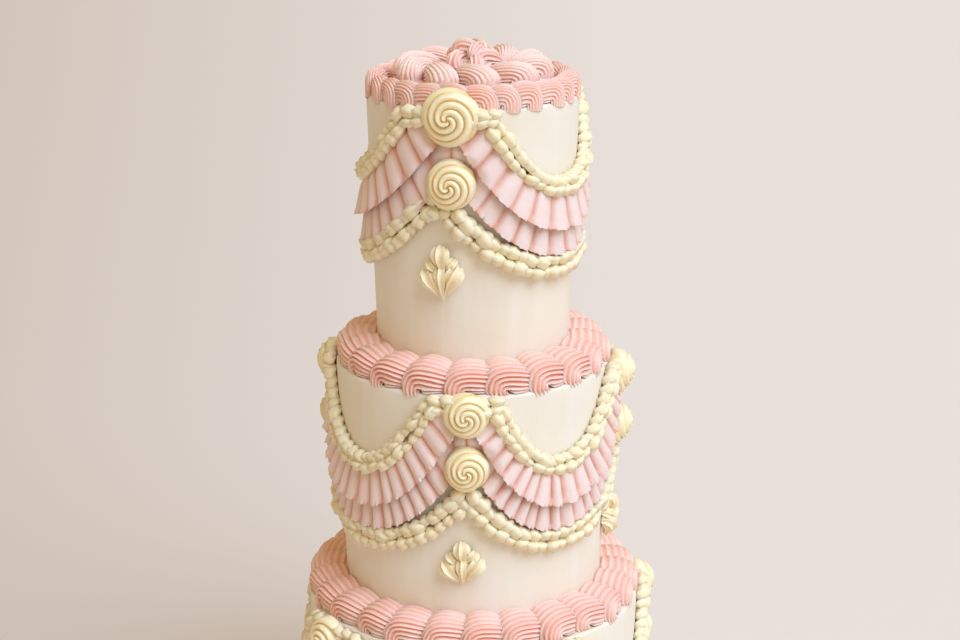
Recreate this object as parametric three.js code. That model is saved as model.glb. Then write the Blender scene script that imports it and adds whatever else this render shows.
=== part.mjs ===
// A three-tier wedding cake in buttercream, standing on its round board.
//
// Millimetres, +Z up. The origin is the centre of the board's underside, and the front is -Y.
// Azimuths are in degrees, 0 at the front and growing towards +X.
// Every piped piece on a wall is laid out on the wall unrolled flat: `along` is the distance
// round the tier, `height` is z, and `out` is the distance in front of the wall.

import * as THREE from 'three';
import { mergeVertices } from 'three/addons/utils/BufferGeometryUtils.js';

// ---------------------------------------------------------------- driving dimensions

const GAP = 0.3; // between pieces that touch
const WALL_GAP = 0.8; // piped pieces keep this off the wall, which has flat facets

const BOARD = { radius: 152, thickness: 12, edge: 1.5 };

// Tiers flare a little towards the top. `joins` are the azimuths where two swags meet. For each
// swag, `lowest` is the share of its width where it hangs lowest, and `depths` how deep it
// hangs as a share of the usual depth.
const TIERS = [
  {
    name: 'bottom',
    floor: BOARD.thickness,
    top: 157,
    baseRadius: 104.5,
    topRadius: 107,
    joins: [-54, 24, 102, 170, 238],
    lowest: [0.5, 0.5, 0.5, 0.5, 0.5],
    depths: [1, 1, 1, 1, 1],
    upperRosette: { radius: 13.6, drop: 10 },
    lowerRosette: { radius: 13.6, drop: 44 },
    fleur: { width: 26, height: 28, drop: 107, turn: 0 },
  },
  {
    name: 'middle',
    floor: 157,
    top: 313,
    baseRadius: 82.5,
    topRadius: 86.7,
    joins: [-2.4, 87, 174, 257],
    lowest: [0.43, 0.5, 0.5, 0.51],
    depths: [0.95, 1, 1, 1.02],
    upperRosette: { radius: 13.8, drop: 10.2 },
    lowerRosette: { radius: 13.6, drop: 44.6 },
    fleur: { width: 26, height: 28, drop: 108, turn: -1.8 },
  },
  {
    name: 'top',
    floor: 313,
    top: 481.5,
    baseRadius: 60,
    topRadius: 65.4,
    joins: [-10.8, 135, 202],
    lowest: [0.45, 0.5, 0.41],
    depths: [1, 0.6, 1],
    upperRosette: { radius: 14.2, drop: 7.5 },
    frontRosette: { radius: 17.1, drop: 3.8 }, // the upper one at the first join
    lowerRosette: { radius: 15, drop: 44 },
    fleur: { width: 23, height: 33, drop: 99.5, turn: -5.5 },
  },
];
const TIER_FACETS = 44;
const TIER_EDGE = 2;

// Where the lines of a swag run, as drops below the tier's top edge. `low` is the drop where
// the swag hangs lowest, `rise` how much higher the line would be at a join, and `join` the
// drop that it is held to near the join, where the rosettes cover it.
const SWAG_LINES = {
  upperRope: { low: 50, rise: 100, join: 5 },
  upperHem: { low: 76, rise: 64, join: 12 },
  lowerHem: { low: 91, rise: 52, join: 39 },
  lowerRope: { low: 99, rise: 36, join: 63 },
};
const SWAG_POWER = 2.3;

const RUFFLE = {
  pleats: 12, // to a swag
  upperWidth: 20,
  lowerWidth: 21,
  topLimit: 6.5, // the top edge stays this far below the tier's edge
  crest: 11.6,
  valley: 8.6,
  hemBack: 6.5,
  underRosette: 0.28, // share of the relief that is left under a rosette
  lowerShare: 0.75, // the lower ruffle stands less far out
};

const ROPE = {
  stations: 14, // to a swag, two for each pair of beads
  upperHalfWidth: 5.5,
  lowerHalfWidth: 7,
  crest: 6,
  trough: 3.8,
  backLift: 3.4, // the lower edge of the upper rope lies over the ruffle
};

const ROSETTE = { back: 4, front: 15, sectors: 10, ridge: 1.1 };
const ROSETTE_CLEARANCE = { full: 1, none: 9 }; // beyond a rosette's edge
const FLEUR = { sectors: 12, rings: 3, thickness: 5.5 };

// Borders of shells. Each shell's head starts just after `start` and its tail runs under the
// head of the next one.
const BASE_BORDERS = {
  bottom: { outer: 134.5, height: 18.5, shells: 30, start: -3 },
  middle: { outer: 105.5, height: 18, shells: 26, start: -5 },
  top: { outer: 86.5, height: 18, shells: 20, start: -15 },
};
const SHELL = { crestAt: 0.36, neckWidth: 0.84, neckHeight: 0.7, groove: 0.9, sides: 9 };
const RIM_BORDER = { inner: 50.6, outer: 66.6, height: 14.6, shells: 25, start: 2 };
const CROWN = { inner: 21, outer: 49.8, height: 24, shells: 10, start: 10 };
const CENTRE_SWIRL = { radius: 20.2, height: 31.5, sectors: 10, ridge: 2 };

// ---------------------------------------------------------------- finishes

const FINISHES = {
  wall: { color: 0xf3ead8, roughness: 0.6 },
  shell: { color: 0xee9f97, roughness: 0.5 },
  ruffle: { color: 0xeec0bb, roughness: 0.6 },
  cream: { color: 0xf5e8c2, roughness: 0.5 },
  board: { color: 0xf6f3ee, roughness: 0.7 },
};

const cake = new THREE.Group();

function addPiece(name, geometry, finish) {
  const material = new THREE.MeshStandardMaterial({ metalness: 0, ...FINISHES[finish] });
  const mesh = new THREE.Mesh(geometry, material);
  mesh.name = name;
  cake.add(mesh);
}

// ---------------------------------------------------------------- shaping tools

const smooth = (from, to, value) => THREE.MathUtils.smoothstep(value, from, to);
const mix = THREE.MathUtils.lerp;

function signedVolume(geometry) {
  const points = geometry.attributes.position;
  const index = geometry.index;
  const corner = [new THREE.Vector3(), new THREE.Vector3(), new THREE.Vector3()];
  let volume = 0;
  for (let i = 0; i < index.count; i += 3) {
    corner.forEach((vector, k) => vector.fromBufferAttribute(points, index.getX(i + k)));
    volume += corner[0].dot(corner[1].clone().cross(corner[2])) / 6;
  }
  return volume;
}

function turnInsideOut(geometry) {
  const index = geometry.index;
  for (let i = 0; i < index.count; i += 3) {
    const first = index.getX(i);
    index.setX(i, index.getX(i + 1));
    index.setX(i + 1, first);
  }
}

function dropEmptyTriangles(geometry) {
  const corners = geometry.index.array;
  const kept = [];
  for (let i = 0; i < corners.length; i += 3) {
    const triangle = [corners[i], corners[i + 1], corners[i + 2]];
    if (new Set(triangle).size === 3) kept.push(...triangle);
  }
  geometry.setIndex(kept);
}

// Merges the seams of a geometry, so that it is one closed skin that faces outwards.
function closed(geometry) {
  geometry.deleteAttribute('normal');
  geometry.deleteAttribute('uv');
  const skin = mergeVertices(geometry, 1e-3);
  dropEmptyTriangles(skin);
  if (signedVolume(skin) < 0) turnInsideOut(skin);
  skin.computeVertexNormals();
  return skin;
}

// Moves every vertex of a torus or sphere grid to place(u, v).
function shaped(geometry, place) {
  const points = geometry.attributes.position;
  const grid = geometry.attributes.uv;
  for (let i = 0; i < points.count; i += 1) {
    const point = place(grid.getX(i), grid.getY(i));
    points.setXYZ(i, point.x, point.y, point.z);
  }
  return closed(geometry);
}

// A closed ring: place(station, corner) gives each corner of each cross-section.
function ringSolid(stations, corners, place) {
  const grid = new THREE.TorusGeometry(2, 1, corners, stations);
  return shaped(grid, (u, v) => {
    const station = Math.round(u * stations) % stations;
    const corner = Math.round(v * corners) % corners;
    return place(station, corner);
  });
}

// A closed blob: place(turn, ring) with ring 0 at its front pole and `rings` at its back pole.
function blobSolid(sectors, rings, place) {
  const grid = new THREE.SphereGeometry(1, sectors, rings);
  return shaped(grid, (u, v) => {
    const ring = Math.round((1 - v) * rings);
    const sector = ring % rings === 0 ? 0 : Math.round(u * sectors) % sectors;
    return place((sector / sectors) * 2 * Math.PI, ring);
  });
}

function polar(azimuth, radius, height) {
  const angle = THREE.MathUtils.degToRad(azimuth);
  return new THREE.Vector3(radius * Math.sin(angle), -radius * Math.cos(angle), height);
}

// ---------------------------------------------------------------- the wall, unrolled

const millimetresPerDegree = (tier) => THREE.MathUtils.degToRad(tier.topRadius);

function wallRadius(tier, height) {
  const share = (height - tier.floor) / (tier.top - tier.floor);
  return mix(tier.baseRadius, tier.topRadius, share);
}

function onWall(tier, along, height, out) {
  return polar(along / millimetresPerDegree(tier), wallRadius(tier, height) + out, height);
}

function swagEnds(tier, swag) {
  const scale = millimetresPerDegree(tier);
  const next = swag + 1 < tier.joins.length ? tier.joins[swag + 1] : tier.joins[0] + 360;
  return [tier.joins[swag] * scale, next * scale];
}

// One line of one swag, on the unrolled wall: x is `along` and y is the height.
class SwagLine extends THREE.Curve {
  constructor(tier, swag, line) {
    super();
    this.tier = tier;
    this.line = line;
    this.lowest = tier.lowest[swag];
    this.depth = tier.depths[swag];
    [this.start, this.end] = swagEnds(tier, swag);
  }

  getPoint(t, target = new THREE.Vector3()) {
    const side = t < this.lowest ? this.lowest : 1 - this.lowest;
    const fromLowest = Math.abs(t - this.lowest) / side;
    const { low, rise, join } = this.line;
    const sag = this.depth * (low - join - rise * fromLowest ** SWAG_POWER);
    const drop = join + Math.max(sag, 0);
    return target.set(mix(this.start, this.end, t), this.tier.top - drop, 0);
  }
}

// The direction across a swag line, upwards. It turns to straight up at the joins.
function acrossLine(curve, share) {
  const tangent = curve.getTangentAt(THREE.MathUtils.clamp(share, 0.01, 0.99));
  const towardsJoin = smooth(0, 0.1, Math.min(share, 1 - share));
  const across = new THREE.Vector3(-tangent.y, tangent.x, 0).multiplyScalar(towardsJoin);
  across.y += 1 - towardsJoin;
  return across.normalize();
}

function rosetteSpots(tier) {
  const spots = [];
  tier.joins.forEach((azimuth, join) => {
    for (const level of ['upper', 'lower']) {
      const isFront = join === 0 && level === 'upper';
      const size = (isFront && tier.frontRosette) || tier[`${level}Rosette`];
      const along = azimuth * millimetresPerDegree(tier);
      spots.push({ join, level, along, height: tier.top - size.drop, radius: size.radius });
    }
  });
  return spots;
}

// 0 behind a rosette and 1 well clear of all of them: piped work is pressed flat under them.
function clearOfRosettes(tier, along, height) {
  const round = 360 * millimetresPerDegree(tier);
  let clear = 1;
  for (const spot of rosetteSpots(tier)) {
    const around = along - spot.along - round * Math.round((along - spot.along) / round);
    const beyond = Math.hypot(around, height - spot.height) - spot.radius;
    clear = Math.min(clear, smooth(ROSETTE_CLEARANCE.full, ROSETTE_CLEARANCE.none, beyond));
  }
  return clear;
}

// Splits each four-sided cell of a strip's skin along the diagonal that is shorter when the
// strip is flattened onto the wall. Its front and its back are then split the same way, so
// that they stay apart where the strip is thin.
function splitAcross(tier, skin) {
  const points = skin.attributes.position;
  const corners = skin.index.array;
  const flattened = (corner) => {
    const spot = new THREE.Vector3().fromBufferAttribute(points, corner);
    const inwards = tier.topRadius / Math.hypot(spot.x, spot.y);
    return spot.multiply(new THREE.Vector3(inwards, inwards, 1));
  };
  const between = (one, other) => flattened(one).distanceTo(flattened(other));
  for (let i = 0; i < corners.length; i += 6) {
    const cell = corners.slice(i, i + 6);
    const isShared = (corner) => cell.indexOf(corner) !== cell.lastIndexOf(corner);
    const [first, last] = cell.filter((corner) => !isShared(corner));
    const turn = cell.indexOf(first);
    const [next, after] = [cell[(turn + 1) % 3], cell[(turn + 2) % 3]];
    if (between(first, last) < between(next, after)) {
      corners.set([first, next, last, last, after, first], i);
    }
  }
  skin.computeVertexNormals();
  return skin;
}

// A strip that runs round the whole tier along one swag line. corner(point, across, station, k)
// gives [distance across, distance out] for each corner of the strip's cross-section.
function swagStrip(tier, line, stationsPerSwag, corners, corner) {
  const curves = tier.joins.map((_, swag) => new SwagLine(tier, swag, line));
  const skin = ringSolid(curves.length * stationsPerSwag, corners, (station, k) => {
    const curve = curves[Math.floor(station / stationsPerSwag)];
    const share = (station % stationsPerSwag) / stationsPerSwag;
    const point = curve.getPointAt(share);
    const across = acrossLine(curve, share);
    const [sideways, out] = corner(point, station, k);
    const spot = point.clone().addScaledVector(across, sideways);
    spot.y = Math.min(spot.y, tier.top - GAP);
    return onWall(tier, spot.x, spot.y, out(spot));
  });
  return splitAcross(tier, skin);
}

// ---------------------------------------------------------------- board and tiers

function disc(floor, top, baseRadius, topRadius, edge) {
  const outline = [
    new THREE.Vector2(0, floor),
    new THREE.Vector2(baseRadius, floor),
    new THREE.Vector2(topRadius, top - edge),
    new THREE.Vector2(topRadius - edge, top),
    new THREE.Vector2(0, top),
  ];
  const geometry = new THREE.LatheGeometry(outline, TIER_FACETS);
  geometry.rotateX(Math.PI / 2);
  return closed(geometry);
}

function addBoardAndTiers() {
  addPiece('board', disc(0, BOARD.thickness, BOARD.radius, BOARD.radius, BOARD.edge), 'board');
  for (const tier of TIERS) {
    const floor = tier.floor + GAP;
    const body = disc(floor, tier.top, tier.baseRadius, tier.topRadius, TIER_EDGE);
    addPiece(`tier_${tier.name}`, body, 'wall');
  }
}

// ---------------------------------------------------------------- borders of piped shells

// Ridges and grooves run along the shells; k counts the corners of the cross-section from the
// inner foot over the top to the outer foot.
function shellBorder(floor, size, stationsPerShell) {
  const pitch = 360 / size.shells;
  const middle = (size.inner + size.outer) / 2;
  const half = (size.outer - size.inner) / 2;
  return ringSolid(size.shells * stationsPerShell, SHELL.sides, (station, k) => {
    const shell = Math.floor(station / stationsPerShell);
    const step = station % stationsPerShell;
    const phase = step === 0 ? 0 : SHELL.crestAt + (step - 1) * 0.3;
    const fullness = step === 0 ? 0 : 1 - (step - 1) * 0.35;
    const wide = half * mix(SHELL.neckWidth, 1, fullness);
    const high = size.height * mix(SHELL.neckHeight, 1, fullness);
    const turn = Math.PI * (1 - k / (SHELL.sides - 1));
    const ridge = k % 2 === 0 ? 1 : SHELL.groove;
    const radius = middle + wide * ridge * Math.cos(turn);
    const height = floor + GAP + high * ridge * Math.sin(turn);
    return polar(size.start + (shell + phase) * pitch, radius, height);
  });
}

function addShellBorders() {
  for (const tier of TIERS) {
    const size = { inner: tier.baseRadius + WALL_GAP, ...BASE_BORDERS[tier.name] };
    addPiece(`base_border_${tier.name}`, shellBorder(tier.floor, size, 2), 'shell');
  }
  const cakeTop = TIERS[TIERS.length - 1].top;
  addPiece('rim_border', shellBorder(cakeTop, RIM_BORDER, 2), 'shell');
  addPiece('crown_of_shells', shellBorder(cakeTop, CROWN, 3), 'shell');
  addPiece('centre_swirl', centreSwirl(cakeTop), 'shell');
}

// ---------------------------------------------------------------- ruffles and ropes

// A wedge of pleats: thin along its top edge, with a hem that lifts off what lies under it.
// width(depth) is its width in a swag of that depth.
function ruffle(tier, line, width, share) {
  const stations = 2 * RUFFLE.pleats;
  return swagStrip(tier, line, stations, 3, (point, station, k) => {
    const depth = tier.depths[Math.floor(station / stations)];
    const isCrest = station % 2 === 1;
    const front = (isCrest ? RUFFLE.crest : RUFFLE.valley) * share;
    const hem = k === 1 ? front : RUFFLE.hemBack * share;
    const room = tier.top - RUFFLE.topLimit - point.y;
    const sideways = k === 0 ? Math.min(width(depth), room) : 0;
    const out = (spot) => {
      if (k === 0) return WALL_GAP;
      return hem * mix(RUFFLE.underRosette, 1, clearOfRosettes(tier, spot.x, spot.y));
    };
    return [sideways, out];
  });
}

// Two rows of beads side by side: the rows bulge by turns.
function rope(tier, line, halfWidth, backLift) {
  return swagStrip(tier, line, ROPE.stations, 4, (point, station, k) => {
    const fullRow = station % 2 === 0 ? 1 : 2;
    const bulge = k === fullRow ? ROPE.crest : ROPE.trough;
    const sideways = [1, 0.5, -0.5, -1][k] * halfWidth;
    const out = (spot) => {
      if (k === 0) return WALL_GAP;
      if (k === 3) return backLift;
      return mix(ROPE.trough * 0.8, bulge, clearOfRosettes(tier, spot.x, spot.y));
    };
    return [sideways, out];
  });
}

function addSwags() {
  for (const tier of TIERS) {
    const toRope = (depth) => RUFFLE.upperWidth * depth;
    const underHem = () => RUFFLE.lowerWidth;
    const upper = ruffle(tier, SWAG_LINES.upperHem, toRope, 1);
    const lower = ruffle(tier, SWAG_LINES.lowerHem, underHem, RUFFLE.lowerShare);
    addPiece(`upper_ruffle_${tier.name}`, upper, 'ruffle');
    addPiece(`lower_ruffle_${tier.name}`, lower, 'ruffle');
    const top = rope(tier, SWAG_LINES.upperRope, ROPE.upperHalfWidth, ROPE.backLift);
    const bottom = rope(tier, SWAG_LINES.lowerRope, ROPE.lowerHalfWidth, WALL_GAP);
    addPiece(`upper_rope_${tier.name}`, top, 'cream');
    addPiece(`lower_rope_${tier.name}`, bottom, 'cream');
  }
}

// ---------------------------------------------------------------- rosettes and fleurs

// [share of the radius, share of the thickness] of each ring of a rosette, from its centre.
const SWIRL_PROFILE = [[0, 0.86], [0.36, 1], [0.72, 0.86], [1, 0.42], [0.84, 0], [0, 0]];

// A swirl of ridges round a centre. place(x, y, thickness) puts it on a wall or on the top.
function swirl(radius, thickness, ridge, sectors, place) {
  const rings = SWIRL_PROFILE.length - 1;
  return blobSolid(sectors, rings, (angle, ring) => {
    const [reach, depth] = SWIRL_PROFILE[ring];
    const isRidge = Math.round((angle / (2 * Math.PI)) * sectors) % 2 === 0;
    const onFront = ring > 0 && ring < rings - 2;
    const lift = onFront && isRidge ? ridge : 0;
    const twist = angle + (ring * Math.PI) / sectors;
    const x = radius * reach * Math.cos(twist);
    const y = radius * reach * Math.sin(twist);
    return place(x, y, thickness * depth - (onFront ? ridge : 0) + lift);
  });
}

function centreSwirl(cakeTop) {
  const { radius, height, sectors, ridge } = CENTRE_SWIRL;
  const floor = cakeTop + GAP;
  return swirl(radius, height, ridge, sectors, (x, y, z) => new THREE.Vector3(x, y, floor + z));
}

function rosette(tier, spot) {
  const thickness = ROSETTE.front - ROSETTE.back;
  const narrowing = tier.topRadius / (tier.topRadius + ROSETTE.front / 2); // so far off the wall
  return swirl(spot.radius, thickness, ROSETTE.ridge, ROSETTE.sectors, (x, y, depth) =>
    onWall(tier, spot.along + x * narrowing, spot.height + y, ROSETTE.back + depth));
}

// Four lobes, as [direction in degrees, length as a share of the height].
const FLEUR_LOBES = [[90, 0.5], [30, 0.47], [150, 0.47], [270, 0.5]];

function fleur(tier, azimuth) {
  const { width, height, drop, turn } = tier.fleur;
  const along = (azimuth + turn) * millimetresPerDegree(tier);
  return blobSolid(FLEUR.sectors, FLEUR.rings, (angle, ring) => {
    const lobes = FLEUR_LOBES.map(([direction, length]) => {
      const facing = Math.cos(angle - THREE.MathUtils.degToRad(direction));
      return length * Math.max(facing, 0) ** 3;
    });
    const reach = height * Math.max(0.26, ...lobes) * [0, 0.6, 1, 0][ring];
    const out = [FLEUR.thickness, FLEUR.thickness * 0.75, 1.6, WALL_GAP][ring];
    const x = reach * Math.cos(angle) * (width / height) * 1.25;
    return onWall(tier, along + x, tier.top - drop + reach * Math.sin(angle), out);
  });
}

function addOrnaments() {
  for (const tier of TIERS) {
    for (const spot of rosetteSpots(tier)) {
      const name = `${spot.level}_rosette_${tier.name}_${spot.join + 1}`;
      addPiece(name, rosette(tier, spot), 'cream');
    }
    tier.joins.forEach((azimuth, join) => {
      addPiece(`fleur_${tier.name}_${join + 1}`, fleur(tier, azimuth), 'cream');
    });
  }
}

addBoardAndTiers();
addShellBorders();
addSwags();
addOrnaments();

export default cake;
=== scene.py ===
import math
import random

import bpy
import numpy as np
from bpy.props import FloatProperty, FloatVectorProperty, IntProperty, PointerProperty
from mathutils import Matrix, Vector


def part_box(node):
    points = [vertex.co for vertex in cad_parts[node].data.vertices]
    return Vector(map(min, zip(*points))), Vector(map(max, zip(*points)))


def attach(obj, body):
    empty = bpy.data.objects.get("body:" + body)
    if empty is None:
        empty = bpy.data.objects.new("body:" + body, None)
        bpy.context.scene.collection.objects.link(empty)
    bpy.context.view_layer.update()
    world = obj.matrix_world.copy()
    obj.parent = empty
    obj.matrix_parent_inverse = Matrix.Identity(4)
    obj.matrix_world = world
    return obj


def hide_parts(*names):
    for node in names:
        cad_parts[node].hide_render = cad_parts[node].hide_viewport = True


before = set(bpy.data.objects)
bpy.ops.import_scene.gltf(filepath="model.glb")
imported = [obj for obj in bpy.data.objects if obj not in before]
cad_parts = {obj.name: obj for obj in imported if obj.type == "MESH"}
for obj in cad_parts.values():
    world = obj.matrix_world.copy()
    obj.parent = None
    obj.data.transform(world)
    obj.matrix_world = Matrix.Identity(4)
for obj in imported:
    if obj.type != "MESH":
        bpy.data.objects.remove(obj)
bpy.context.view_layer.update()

bl_info = {
    "name": "Piped Wedding Cake",
    "version": (1, 0, 0),
    "blender": (4, 5, 0),
    "location": "View3D > Sidebar > Cake",
    "description": "Dresses a tiered wedding cake with piped buttercream",
    "category": "Add Mesh",
}

MM = 0.001
FULL_TURN = 2 * math.pi


# ---------------------------------------------------------------- what a user would change


class PipingSizes(bpy.types.PropertyGroup):
    """Sizes of the piped work."""

    shell_teeth: IntProperty(
        name="Shell ridges", default=20, min=6, max=28,
        description="Teeth of the star nozzle that pipes the pink shells")
    shell_groove: FloatProperty(
        name="Shell groove", default=0.15, min=0.05, max=0.4, subtype="FACTOR",
        description="Depth of the grooves as a share of a shell's radius")
    bead_spacing: FloatProperty(
        name="Bead spacing", default=7 * MM, min=5 * MM, max=20 * MM, unit="LENGTH",
        description="From one pair of rope beads to the next")
    pleat_depth: FloatProperty(
        name="Pleat depth", default=3.9 * MM, min=0, max=6 * MM, unit="LENGTH",
        description="How far a pleat stands out at the hem")
    hem_thickness: FloatProperty(
        name="Hem thickness", default=1.1 * MM, min=0.4 * MM, max=3 * MM, unit="LENGTH",
        description="Thickness of the ruffles' thin sheet of icing")
    rosette_arms: IntProperty(
        name="Rosette ridges", default=3, min=3, max=9,
        description="Ridges that wind out from the middle of a rosette")
    rosette_ridge: FloatProperty(
        name="Rosette ridge", default=3.4 * MM, min=0, max=5 * MM, unit="LENGTH",
        description="How far a rosette's ridges stand up")


class IcingColours(bpy.types.PropertyGroup):
    """Colours of the icing, the board and the floor."""

    wall: FloatVectorProperty(
        name="Wall icing", default=(0.88, 0.81, 0.70), subtype="COLOR",
        description="Smoothed ivory buttercream on the tiers")
    shells: FloatVectorProperty(
        name="Shells", default=(0.90, 0.605, 0.51), subtype="COLOR",
        description="Salmon pink buttercream of the borders and the crown")
    # Paler than the shells as painted light: it lightens the crown against the shade in its deep
    # grooves.
    crown: FloatVectorProperty(
        name="Crown", default=(0.955, 0.69, 0.61), subtype="COLOR",
        description="Paler salmon pink buttercream of the shells on the top")
    # Painted shade: the deeper pink that the shells and the crown get in their grooves.
    shell_groove_shade: FloatVectorProperty(
        name="Shell grooves", default=(0.92, 0.45, 0.36), subtype="COLOR",
        description="Deeper pink in the grooves of the shells")
    ruffles: FloatVectorProperty(
        name="Ruffles", default=(0.90, 0.68, 0.62), subtype="COLOR",
        description="Dusty pink buttercream of the pleated swags")
    # Painted shade: the deeper pink in the creases between pleats and along the lip of the hem.
    ruffle_creases: FloatVectorProperty(
        name="Ruffle creases", default=(0.78, 0.37, 0.26), subtype="COLOR",
        description="Deeper pink in the creases between pleats")
    piping: FloatVectorProperty(
        name="Cream piping", default=(0.96, 0.845, 0.585), subtype="COLOR",
        description="Butter yellow buttercream of ropes, rosettes and drops")
    # Painted shade: the deeper yellow in the grooves of the ropes and the fleurs.
    piping_grooves: FloatVectorProperty(
        name="Piping grooves", default=(0.86, 0.58, 0.25), subtype="COLOR",
        description="Deeper yellow in the grooves of the cream piping")
    rosettes: FloatVectorProperty(
        name="Rosettes", default=(0.99, 0.86, 0.56), subtype="COLOR",
        description="Yellower buttercream of the rosettes")
    # Painted shade: the golden yellow in the grooves of the rosettes.
    rosette_grooves: FloatVectorProperty(
        name="Rosette grooves", default=(0.90, 0.58, 0.17), subtype="COLOR",
        description="Golden yellow in the grooves of the rosettes")
    board: FloatVectorProperty(
        name="Board", default=(0.83, 0.79, 0.74), subtype="COLOR",
        description="White paper covering of the board")
    floor: FloatVectorProperty(
        name="Floor", default=(0.81, 0.735, 0.685), subtype="COLOR",
        description="Pale pinkish beige floor")


class StudioLight(bpy.types.PropertyGroup):
    """Light of the studio."""

    window_strength: FloatProperty(
        name="Window light", default=3.5, min=0, soft_max=10,
        description="Strength of the large soft light from the right")
    window_colour: FloatVectorProperty(
        name="Window colour", default=(0.56, 0.72, 0.96), subtype="COLOR",
        description="Colour of the light from the right")
    room_strength: FloatProperty(
        name="Room light", default=0.8, min=0, soft_max=2,
        description="Strength of the even light of the room")
    room_colour: FloatVectorProperty(
        name="Room colour", default=(0.67, 0.51, 0.28), subtype="COLOR",
        description="Warm colour of the light of the room")


def sizes():
    return bpy.context.scene.piping_sizes


def colours():
    return bpy.context.scene.icing_colours


# ---------------------------------------------------------------- the tiers and their swags

# How far inside and outside a rosette's edge the work under it starts to rise, and is clear.
ROSETTE_MARGIN = (-2 * MM, 7 * MM)


def smooth(low, high, value):
    """Rises gently from 0 at low to 1 at high."""
    share = np.clip((np.asarray(value, float) - low) / (high - low), 0, 1)
    return share * share * (3 - 2 * share)


def round_the_axis(radius, azimuth, height):
    """Points round the cake, where the azimuth is 0 at the front and grows to the right."""
    return np.column_stack((radius * np.sin(azimuth), -radius * np.cos(azimuth), height))


class Tier:
    """A tier as the frame has it, with its wall unrolled flat: `along` is the distance round
    the tier, `height` is z, and `out` is the distance in front of the wall."""

    def __init__(self, name, base, joins, lowest, depths, pleats, lower_rope_rises=()):
        low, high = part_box(f"tier_{name}")
        self.name = name
        self.floor = low.z
        self.top = high.z
        self.base = base
        self.rim = high.x
        self.joins = [math.radians(azimuth) for azimuth in joins]
        self.lowest = lowest
        self.depths = depths
        self.pleats = pleats
        self.lower_rope_rises = lower_rope_rises

    def radius(self, height):
        share = (height - self.floor) / (self.top - self.floor)
        return self.base + (self.rim - self.base) * share

    def on_wall(self, points):
        """Rolls flat points (along, height, out) onto the flared wall."""
        along, height, out = np.asarray(points, float).T
        return round_the_axis(self.radius(height) + out, along / self.rim, height)

    def clear_of_rosettes(self, along, height):
        """0 behind a rosette and 1 well clear of them all, for what lies under them."""
        turn = FULL_TURN * self.rim
        clear = np.ones_like(along)
        for join, azimuth in enumerate(self.joins):
            for level in ("upper", "lower"):
                low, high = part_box(f"{level}_rosette_{self.name}_{join + 1}")
                around = (along - azimuth * self.rim + turn / 2) % turn - turn / 2
                beyond = np.hypot(around, height - (low.z + high.z) / 2) - (high.z - low.z) / 2
                clear = np.minimum(clear, smooth(*ROSETTE_MARGIN, beyond))
        return clear

    def swag_ends(self, swag):
        joins = self.joins + [self.joins[0] + FULL_TURN]
        return joins[swag] * self.rim, joins[swag + 1] * self.rim


# Radius at the foot and azimuths of the joins between swags; then for each swag the share of
# its width where it hangs lowest, its depth as a share of the usual one, and its pleats. The
# top tier's lower rope also has rises of its own.
TIERS = [
    Tier("bottom", 104.5 * MM, [-54, 24, 102, 170, 238], [0.5] * 5, [1] * 5,
         [20, 20, 18, 18, 18]),
    Tier("middle", 82.5 * MM, [-2.4, 87, 174, 257], [0.43, 0.5, 0.5, 0.51],
         [0.95, 1, 1, 1.02], [19, 19, 18, 21]),
    Tier("top", 60 * MM, [-10.8, 135, 202], [0.45, 0.5, 0.41],
         [1, 0.6, 1], [15, 8, 17], [36 * MM, 36 * MM, 60 * MM]),
]

# Lines of a swag as drops below the tier's top edge: where it hangs lowest, how much higher
# the curve would be at a join, and the drop that it is held to near the join.
UPPER_ROPE = (50 * MM, 100 * MM, 5 * MM)
UPPER_HEM = (76 * MM, 66 * MM, 12 * MM)
LOWER_HEM = (92 * MM, 52 * MM, 40 * MM)
LOWER_ROPE = (99 * MM, 36 * MM, 58 * MM)
SWAG_POWER = 2.3


class SwagLine:
    """One line of one swag on the unrolled wall, measured along its own length."""

    SAMPLES = 400
    SLOPE_STEP = 0.004  # share of the line that its slope is taken over, on either side

    def __init__(self, tier, swag, line):
        low, rise, join = line
        share = np.linspace(0, 1, self.SAMPLES + 1)
        lowest = tier.lowest[swag]
        side = np.where(share < lowest, lowest, 1 - lowest)
        from_lowest = np.abs(share - lowest) / side
        sag = tier.depths[swag] * (low - join - rise * from_lowest**SWAG_POWER)
        drop = join + np.maximum(sag, 0)
        start, end = tier.swag_ends(swag)
        self.along = start + (end - start) * share
        self.height = tier.top - drop
        steps = np.hypot(np.diff(self.along), np.diff(self.height))
        self.reach = np.concatenate(([0], np.cumsum(steps)))
        self.length = self.reach[-1]

    def at(self, share):
        reach = np.asarray(share) * self.length
        return np.interp(reach, self.reach, self.along), np.interp(reach, self.reach, self.height)

    def slope(self, share):
        """Angle of the line above the level, in radians."""
        before = self.at(np.clip(share - self.SLOPE_STEP, 0, 1))
        after = self.at(np.clip(share + self.SLOPE_STEP, 0, 1))
        return np.arctan2(after[1] - before[1], after[0] - before[0])


# ---------------------------------------------------------------- modelling tools


def only(piece):
    """Makes a piece the only one that is selected and the active one."""
    bpy.ops.object.select_all(action="DESELECT")
    piece.select_set(True)
    bpy.context.view_layer.objects.active = piece


def name_new(name):
    """Names the primitive that was just added."""
    piece = bpy.context.object
    piece.name = piece.data.name = name
    return piece


def end_facing_outwards():
    """Turns the faces of the closed mesh in edit mode outwards, and leaves edit mode."""
    bpy.ops.mesh.select_all(action="SELECT")
    bpy.ops.mesh.normals_make_consistent(inside=False)
    bpy.ops.object.mode_set(mode="OBJECT")


def face_outwards(piece):
    only(piece)
    bpy.ops.object.mode_set(mode="EDIT")
    end_facing_outwards()


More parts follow.
